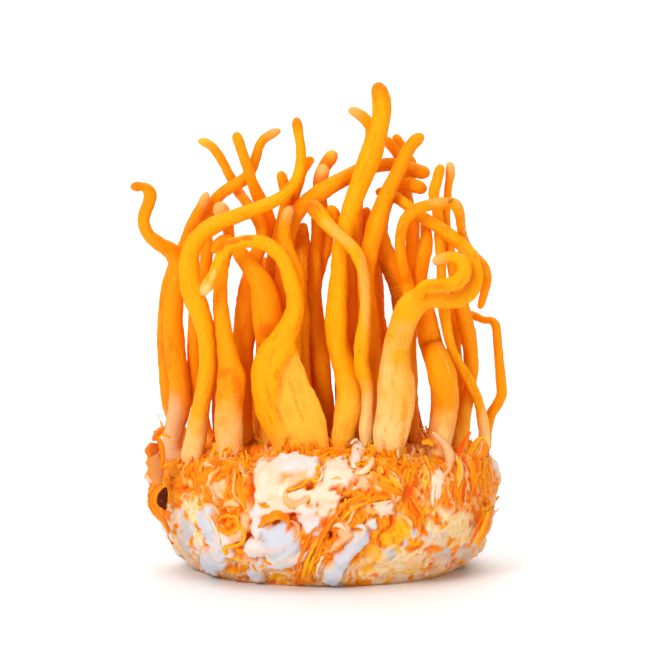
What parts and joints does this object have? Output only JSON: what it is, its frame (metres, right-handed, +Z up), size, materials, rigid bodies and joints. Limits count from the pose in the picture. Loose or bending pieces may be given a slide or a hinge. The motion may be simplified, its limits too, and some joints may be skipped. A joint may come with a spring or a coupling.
{
  "type": "cultivated cordyceps mushroom bunch",
  "caption": "Bunch of bent, curling orange cordyceps stems growing from a round puck of growing medium covered in pale mycelium, standing on its flat bottom.",
  "frame": {"origin": "centre of the flat bottom of the round block of growing medium", "axes": "+Z up along the height of the bunch, +X to the right as the bunch is seen from its front, and -Y towards the viewer at its front"},
  "size_m": [0.075, 0.0689, 0.0982],
  "materials": {
    "mycelium": "matt felted mycelium over grain",
    "stem": "waxy flesh with a soft sheen",
    "pale_stem": "waxy flesh, paler towards its foot"
  },
  "bodies": {
    "root": {"mycelium_block": "mycelium", "stem_left_curl": "stem", "stem_left_outer": "stem", "stem_left_arch": "stem", "stem_left_front": "stem", "stem_left_zigzag": "stem", "stem_left_slant": "stem", "stem_left_far_tip": "stem", "stem_left_knee": "stem", "stem_ribbon": "pale_stem", "stem_mid_pale_tip": "stem", "stem_mid_hood": "stem", "stem_mid_ball_tip": "stem", "stem_mid_short_tip": "stem", "stem_mid_blunt_tip": "stem", "stem_mid_small_tip": "stem", "stem_long_diagonal": "stem", "stem_tallest": "stem", "stem_crook": "stem", "stem_tall_right": "stem", "stem_behind_crook": "stem", "stem_top_prong": "stem", "stem_right_spiral": "stem", "stem_right_hook": "stem", "stem_right_ring": "stem", "stem_right_broad": "stem", "stem_right_thin_front": "stem", "stem_right_outer": "stem", "stem_right_inner": "stem", "stem_right_angle": "stem", "stem_right_blunt": "stem", "stem_right_fork_left": "stem", "stem_right_fork_right": "stem", "stem_back_1": "stem", "stem_back_2": "stem", "stem_back_3": "stem", "stem_back_4": "stem", "stem_back_5": "stem", "stem_back_6": "stem", "stem_back_7": "stem", "stem_back_8": "stem", "stem_back_9": "stem"}
  },
  "joints": []
}
